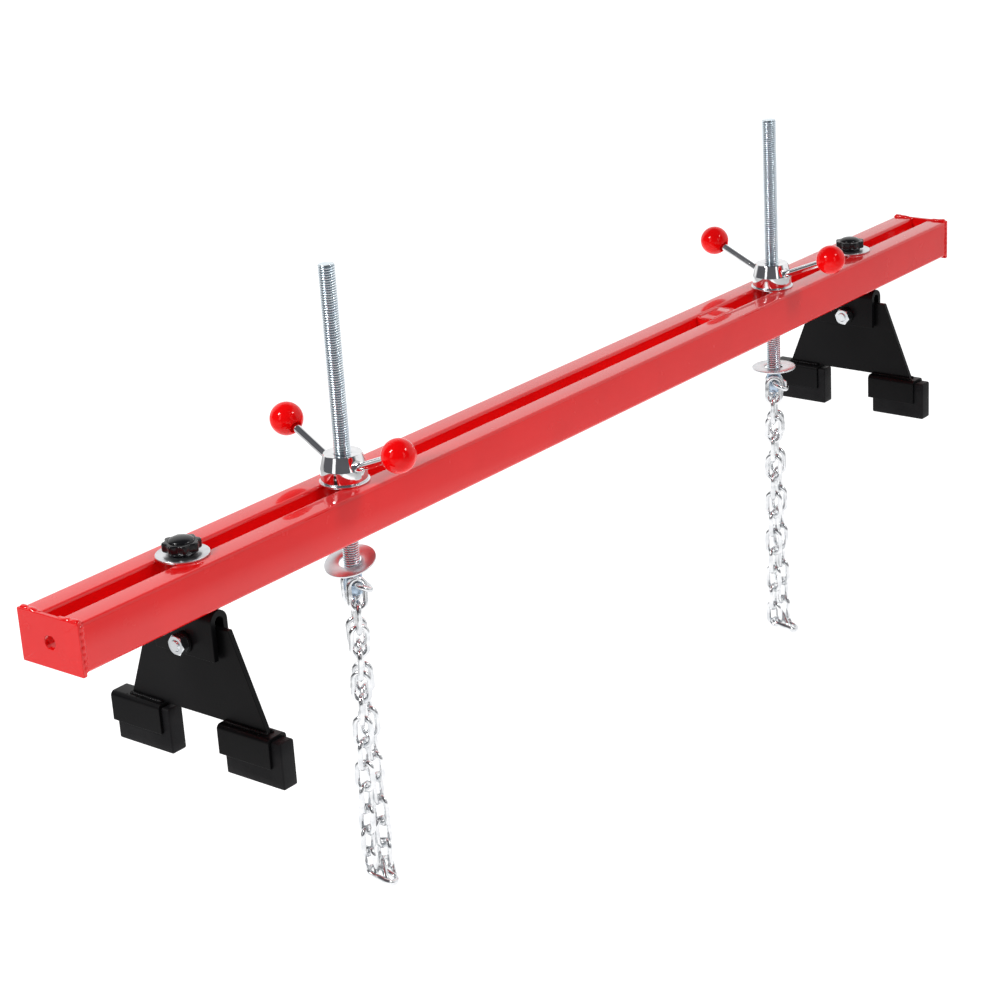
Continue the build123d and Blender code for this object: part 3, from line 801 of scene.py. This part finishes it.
for side in ("left", "right"):
    carriage = "carriage_" + side
    hub = "hub_" + side
    rod = "rod_" + side
    ring = "washer_ring_" + side
    axis_x = joint("hub_turn_" + side)["pos_m"][0]
    axis = Vector((axis_x, 0, 0))

    washer("plain_hub_washer_" + side, "hub_washer_" + side, 8.75 * MM, "bright_zinc", carriage)

    node = "threaded_rod_" + side
    threaded(
        "rolled_thread_" + side, 7.93 * MM, 0.95 * MM, THREAD_PITCH, low(node).z, high(node).z,
        "zinc_thread", rod, (node,), Matrix.Translation(axis), 40,
    )

    # levers: each one runs from its seat on the hub to the middle of its ball
    levers = {}
    for row in ("front", "back"):
        ball_mid = mid(f"ball_{row}_{side}")
        flat = Vector((ball_mid.x - axis_x, ball_mid.y, 0)).normalized()
        foot_point = axis + flat * LEVER_FOOT_R + Vector((0, 0, rail_top + LEVER_FOOT_Z))
        line = ball_mid - foot_point
        levers[row] = (foot_point, line.normalized(), line.length)

    hub_z = low("hub_nut_" + side).z
    z_high = high("hub_nut_" + side).z - hub_z
    profile = [
        (HUB_BORE_R, 0.5 * MM), (HUB_BORE_R + 0.5 * MM, 0),
        (HUB_R - 0.6 * MM, 0), (HUB_R - 0.18 * MM, 0.18 * MM), (HUB_R, 0.6 * MM),
        (HUB_R, HUB_SHOULDER_Z - 0.35 * MM), (HUB_R - 0.04 * MM, HUB_SHOULDER_Z),
        (HUB_R - 0.14 * MM, HUB_SHOULDER_Z + 0.4 * MM),
        (18.5 * MM, z_high - 0.9 * MM), (18.25 * MM, z_high - 0.35 * MM), (17.8 * MM, z_high),
        (HUB_BORE_R + 1.4 * MM, z_high), (HUB_BORE_R, z_high - 1.2 * MM),
    ]
    bm = lathe(profile, 128, ring=True)
    hub_obj = finish_piece(
        "turned_hub_" + side, bm, "polished_steel", hub, ("hub_nut_" + side,), angle=24,
        place=Matrix.Translation((axis_x, 0, hub_z)),
    )
    for foot_point, line, reach in levers.values():
        cutter_bm = lathe([(0, 0), (SPOT_FACE_R, 0), (SPOT_FACE_R, 9 * MM), (0, 9 * MM)], 64)
        cutter_bm.transform(frame_at(foot_point - line * 0.9 * MM, line))
        bmesh.ops.recalc_face_normals(cutter_bm, faces=cutter_bm.faces)
        cutter_mesh = bpy.data.meshes.new("cutter")
        cutter_bm.to_mesh(cutter_mesh)
        cutter_bm.free()
        cutter = bpy.data.objects.new("cutter", cutter_mesh)
        bpy.context.scene.collection.objects.link(cutter)
        cut = hub_obj.modifiers.new("spot_face", "BOOLEAN")
        cut.operation = "DIFFERENCE"
        cut.solver = "EXACT"
        cut.object = cutter
        bpy.context.view_layer.update()
        evaluated = hub_obj.evaluated_get(bpy.context.evaluated_depsgraph_get())
        cut_mesh = bpy.data.meshes.new_from_object(evaluated)
        hub_obj.modifiers.clear()
        hub_obj.data = cut_mesh
        bpy.data.objects.remove(cutter)
    for poly in hub_obj.data.polygons:
        poly.use_smooth = True
    hub_obj.data.set_sharp_from_angle(angle=math.radians(24))

    for row, (foot_point, line, reach) in levers.items():
        start, end = -8.9 * MM, reach + 6.5 * MM
        profile = [(0, start), (BAR_R - BAR_END, start), (BAR_R, start + BAR_END), (BAR_R, 0)]
        profile += [(BAR_R, reach * 0.33), (BAR_R, reach * 0.66), (BAR_R, reach - 13 * MM)]
        profile += [(BAR_R, end - BAR_END), (BAR_R - BAR_END, end), (0, end)]
        finish_piece(
            f"lever_bar_{row}_{side}", lathe(profile, 48), "polished_steel", hub, (f"lever_{row}_{side}",),
            angle=30, place=frame_at(foot_point, line),
        )
        mouth_angle = math.degrees(math.asin(MOUTH_R / BALL_R))
        mouth_floor = -BALL_R + MOUTH_DEPTH
        rim_z = -BALL_R * math.cos(math.radians(mouth_angle + 1.2)) + 0.25 * MM
        skin_start = mouth_angle + 2.5
        profile = [
            (0, BALL_BORE_TOP), (BALL_BORE_R, BALL_BORE_TOP), (BALL_BORE_R, mouth_floor + 0.9 * MM),
            (MOUTH_R - 0.1 * MM, mouth_floor + 0.6 * MM), (MOUTH_R, mouth_floor), (MOUTH_R + 0.02 * MM, rim_z),
        ]
        for k in range(49):
            t = math.radians(skin_start + (180 - skin_start) * k / 48)
            profile.append((BALL_R * math.sin(t), -BALL_R * math.cos(t)))
        profile[-1] = (0, BALL_R)
        finish_piece(
            f"ball_grip_{row}_{side}", lathe(profile, 96), "red_ball_plastic", hub, (f"ball_{row}_{side}",),
            angle=40, place=frame_at(foot_point + line * reach, line),
        )

    # loose washer: its lean is that of the CAD solid's own flat face
    node = "loose_washer_" + side
    centre = mid(node)
    normal = Vector((0, 0, 0))
    for poly in frame["nodes"][node].data.polygons:
        if poly.normal.z > 0.9:
            normal += poly.normal * poly.area
    normal.normalize()
    washer(
        "plain_loose_washer_" + side, node, 10.75 * MM, "zinc_plate", ring, outer=24.75 * MM,
        place=frame_at(centre - normal * WASHER_THICK / 2, normal, (1, 0, 0)),
    )

    # eye: a forged tongue with rounded edges, its hole bored through
    node = "rod_eye_" + side
    swing = joint("chain_swing_" + side)
    across = Vector(swing["axis"])
    top_z, bottom_z = high(node).z, low(node).z
    hole_z = top_z - 6.7 * MM
    width, thick = 8.0 * MM, 4.0 * MM
    flat_top, corner_z = top_z - hole_z, bottom_z - hole_z + 5 * MM
    outline = [(width, flat_top), (width, 0), (width, -8 * MM)]
    outline += arc(width - 5 * MM, corner_z, 5 * MM, 0, -90, 8)
    outline += arc(-width + 5 * MM, corner_z, 5 * MM, -90, -180, 8)
    outline += [(-width, -8 * MM), (-width, 0), (-width, flat_top), (-4 * MM, flat_top), (4 * MM, flat_top)]
    angles = [math.atan2(b, a) for a, b in outline]

    def toward_zero(value, inset):
        return value - math.copysign(min(abs(value), inset), value)

    def outer_ring(inset, height):
        return [(toward_zero(a, inset), toward_zero(b, inset) if b < 0 else b, height) for a, b in outline]

    def eye_ring(radius, height):
        return [(radius * math.cos(t), radius * math.sin(t), height) for t in angles]

    bore_rings = ((EYE_R, 0.8 * MM), (EYE_R + 0.25 * MM, 0.25 * MM), (EYE_R + 0.8 * MM, 0))
    skin_rings = ((EYE_SOFT, 0), (EYE_SOFT * 0.3, EYE_SOFT * 0.3), (0, EYE_SOFT))
    rings = [eye_ring(radius, -thick + inward) for radius, inward in bore_rings]
    rings += [outer_ring(inset, -thick + inward) for inset, inward in skin_rings]
    rings += [outer_ring(inset, thick - inward) for inset, inward in reversed(skin_rings)]
    rings += [eye_ring(radius, thick - inward) for radius, inward in reversed(bore_rings)]
    finish_piece(
        "forged_eye_" + side, ring_loft(rings), "blue_zinc", rod, (node,), angle=48,
        place=frame_at((axis_x, 0, hole_z), across, UP.cross(across)),
    )


# ------------------------------------------------------------------ chains

WIRE_R = 2.75 * MM
BEND_R = 7.75 * MM
STRAIGHT = 14.0 * MM
SPACING = 23.4 * MM
PLAY = 0.3 * MM
STRAND_LINKS = 13
CLOSING_LINKS = (
    ((4.6, 11.7, -1.1), -68.9, 19.4, 5.4),
    ((-5.3, 9.7, -1.7), -121.2, 31.8, 48.1),
)


def heading(angle, elevation=0.0):
    flat = math.cos(math.radians(elevation))
    turned = math.radians(angle)
    return Vector((flat * math.cos(turned), flat * math.sin(turned), math.sin(math.radians(elevation))))


def link_rings(centre, long_axis, normal, seed):
    """Rings of one welded link; the weld is a slight collar on one long side."""
    across = normal.cross(long_axis)
    path = []
    half = STRAIGHT / 2
    for i in range(10):
        path.append((BEND_R, -half + STRAIGHT * i / 10, (1, 0)))
    for i in range(16):
        a = math.pi * i / 16
        path.append((BEND_R * math.cos(a), half + BEND_R * math.sin(a), (math.cos(a), math.sin(a))))
    for i in range(10):
        path.append((-BEND_R, half - STRAIGHT * i / 10, (-1, 0)))
    for i in range(16):
        a = math.pi + math.pi * i / 16
        path.append((BEND_R * math.cos(a), -half + BEND_R * math.sin(a), (math.cos(a), math.sin(a))))
    rings = []
    for index, (x, y, (nx, ny)) in enumerate(path):
        collar = 0.0
        if 3 <= index <= 7:
            collar = 0.22 * MM * (1 - abs(index - 5) / 3)
        ring = []
        for k in range(14):
            t = 2 * math.pi * k / 14
            lump = collar * (1 + 0.5 * math.sin(3 * t + seed))
            r = WIRE_R * 0.985 + lump
            outward = math.cos(t) * r
            sideways = math.sin(t) * r
            in_plane = across * (x + nx * outward) + long_axis * (y + ny * outward)
            ring.append(centre + in_plane + normal * sideways)
        rings.append(ring)
    return rings


for side, drop in (("left", 0.0), ("right", 13.0 * MM)):
    swing = joint("chain_swing_" + side)
    hook = Vector(swing["pos_m"])
    base_angle = math.degrees(math.atan2(swing["axis"][1], swing["axis"][0]))
    bend = joint("chain_bend_middle_" + side)
    bend_angle = math.degrees(math.atan2(bend["axis"][1], bend["axis"][0]))
    turn = (bend_angle - base_angle + 180) % 360 - 180
    twist = turn / 4
    first_top = hook + UP * (WIRE_R + PLAY)

    across = heading(base_angle)
    outward = heading(base_angle + 90, -28.0)
    groups = {"upper": [(hook + outward * BEND_R, across, across.cross(outward))], "middle": [], "lower": []}
    for sign in (1, -1):
        for number in range(1, STRAND_LINKS + 1):
            ends = []
            for step in (number - 1, number):
                spread_out = 8.6 * MM if step in (0, STRAND_LINKS) else 10.8 * MM
                aside = heading(base_angle + twist * step) * sign * spread_out
                ends.append(first_top + aside - UP * SPACING * step)
            long_axis = (ends[0] - ends[1]).normalized()
            angle = base_angle + twist * (number - 0.5) + 90 * (number - 1)
            wander = 7.0 * math.sin(2.1 * number + sign) if 1 < number < STRAND_LINKS else 0.0
            flat = heading(angle + wander)
            normal = (flat - long_axis * flat.dot(long_axis)).normalized()
            group = "upper" if number <= 4 else "middle" if number <= 8 else "lower"
            groups[group].append((ends[0] - long_axis * 12.0 * MM, long_axis, normal))
    last = base_angle + twist * STRAND_LINKS
    strand_end = first_top - UP * SPACING * STRAND_LINKS
    for (along, square, rise), turn_by, slope, roll in CLOSING_LINKS:
        centre = strand_end + (heading(last) * along + heading(last + 90) * square + UP * rise) * MM
        long_axis = heading(last + turn_by, slope)
        upward = (UP - long_axis * long_axis.z).normalized()
        rolled = math.radians(roll)
        normal = upward * math.cos(rolled) + long_axis.cross(upward) * math.sin(rolled)
        groups["lower"].append((centre, long_axis, normal))

    for group, links in groups.items():
        bm = bmesh.new()
        for index, (centre, long_axis, normal) in enumerate(links):
            rings = link_rings(centre, long_axis, normal, index)
            loft(rings + [rings[0]], close_ends=False, bm=bm)
        bmesh.ops.remove_doubles(bm, verts=bm.verts, dist=1e-7)
        node = f"chain_{group}_{side}"
        finish_piece("welded_" + node, bm, "chain_zinc", node, (node,), angle=60)


# ------------------------------------------------------------------ what stays as the CAD made it

for side in ("left", "right"):
    obj = frame["nodes"]["knob_insert_" + side]
    obj.data.materials.clear()
    obj.data.materials.append(MATS["brass_insert"])


# ------------------------------------------------------------------ floor, light and camera

floor_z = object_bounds()[0][2] - 0.5 * MM
floor_mat, floor_tree, floor_bsdf = material("pale_floor")
floor_bsdf.inputs["Base Color"].default_value = (0.30, 0.30, 0.30, 1)
floor_bsdf.inputs["Roughness"].default_value = 0.9
floor_bsdf.inputs["Specular IOR Level"].default_value = 0.0
floor_bsdf.inputs["Emission Strength"].default_value = 1.0
# painted light: the floor glows by its own emission, brightest in a lane that widens away from the camera and
# greyer to both sides of it, a painted pool of light
floor_coords = new_node(floor_tree, "ShaderNodeTexCoord")
sideways = new_node(floor_tree, "ShaderNodeVectorMath", operation="DOT_PRODUCT")
sideways.inputs[1].default_value = (0.615, -0.788, 0.0)
away = new_node(floor_tree, "ShaderNodeVectorMath", operation="DOT_PRODUCT")
away.inputs[1].default_value = (-0.197, -0.154, 0.0)
for dot in (sideways, away):
    floor_tree.links.new(floor_coords.outputs["Object"], dot.inputs[0])
off_axis = new_node(floor_tree, "ShaderNodeMath", operation="ABSOLUTE")
floor_tree.links.new(sideways.outputs["Value"], off_axis.inputs[0])
lane = new_node(floor_tree, "ShaderNodeMath", operation="ADD")
floor_tree.links.new(off_axis.outputs["Value"], lane.inputs[0])
floor_tree.links.new(away.outputs["Value"], lane.inputs[1])
WHITE = (1, 1, 1)
BLACK = (0, 0, 0)
DIM_GLOW_GREY = (0.42, 0.42, 0.42)
floor_glow_stops = [(0.0, WHITE), (0.66, WHITE), (0.92, DIM_GLOW_GREY), (1.0, DIM_GLOW_GREY)]
glow = ramp(floor_tree, lane.outputs["Value"], floor_glow_stops)
# painted light: this emission colour lights the floor itself, though the floor is no lamp
floor_tree.links.new(glow.outputs["Color"], floor_bsdf.inputs["Emission Color"])
floor_mesh = bpy.data.meshes.new("floor")
FLOOR_HALF = 12.0
floor_corners = [(x * FLOOR_HALF, y * FLOOR_HALF, floor_z) for x, y in ((-1, -1), (1, -1), (1, 1), (-1, 1))]
floor_mesh.from_pydata(floor_corners, [], [(0, 1, 2, 3)])
floor_mesh.materials.append(floor_mat)
floor = bpy.data.objects.new("floor", floor_mesh)
bpy.context.scene.collection.objects.link(floor)

world = bpy.data.worlds.new("studio")
bpy.context.scene.world = world
world.use_nodes = True
tree = world.node_tree
coords = tree.nodes.new("ShaderNodeTexCoord")
split = tree.nodes.new("ShaderNodeSeparateXYZ")
tree.links.new(coords.outputs["Generated"], split.inputs["Vector"])
height = ramp(tree, split.outputs["Z"], [(0.0, WHITE), (0.66, WHITE), (0.86, BLACK), (1.0, BLACK)])
# the backdrop stands behind the object, seen from the camera; the room in front of it is dim
backdrop = tree.nodes.new("ShaderNodeVectorMath")
backdrop.operation = "DOT_PRODUCT"
tree.links.new(coords.outputs["Generated"], backdrop.inputs[0])
backdrop.inputs[1].default_value = (0.95, 0.31, 0.0)
depth = ramp(tree, backdrop.outputs["Value"], [(0.0, BLACK), (0.22, WHITE), (1.0, WHITE)])
both = new_node(tree, "ShaderNodeMath", operation="MULTIPLY")
tree.links.new(height.outputs["Color"], both.inputs[0])
tree.links.new(depth.outputs["Color"], both.inputs[1])
sky = ramp(tree, both.outputs["Value"], [(0.0, (0.11, 0.11, 0.12)), (1.0, (1.0, 1.0, 1.0))])
tree.links.new(sky.outputs["Color"], tree.nodes["Background"].inputs["Color"])
tree.nodes["Background"].inputs["Strength"].default_value = 1.0


LIT_POINT = Vector((0, 0, 0.12))


def softbox(name, direction, distance, width, height, watts):
    data = bpy.data.lights.new(name, "AREA")
    data.shape = "RECTANGLE"
    data.size = width
    data.size_y = height
    data.energy = watts
    obj = bpy.data.objects.new(name, data)
    bpy.context.scene.collection.objects.link(obj)
    direction = Vector(direction).normalized()
    obj.matrix_world = frame_at(LIT_POINT + direction * distance, direction, UP.cross(direction))


softbox("softbox_left", (-0.731, 0.266, 0.608), 3.2, 0.6, 0.8, 54)
softbox("softbox_right", (0.158, -0.687, 0.709), 3.2, 0.45, 0.6, 21)
softbox("strip_left", (-0.93, 0.10, 0.34), 3.0, 0.7, 1.5, 4.6)
softbox("strip_right", (-0.30, -0.90, 0.34), 3.0, 0.6, 1.5, 3.8)

camera_data = bpy.data.cameras.new("camera")
camera_data.lens = 85.39
camera_data.sensor_width = 36.0
camera = bpy.data.objects.new("camera", camera_data)
bpy.context.scene.collection.objects.link(camera)
camera.location = (-1.85844, -1.40168, 0.91993)
camera.rotation_euler = (math.radians(69.7252), math.radians(3.3687), math.radians(-52.0382))
bpy.context.scene.camera = camera

scene = bpy.context.scene
scene.view_settings.view_transform = "Standard"
scene.view_settings.look = "None"
scene.view_settings.exposure = 0.0
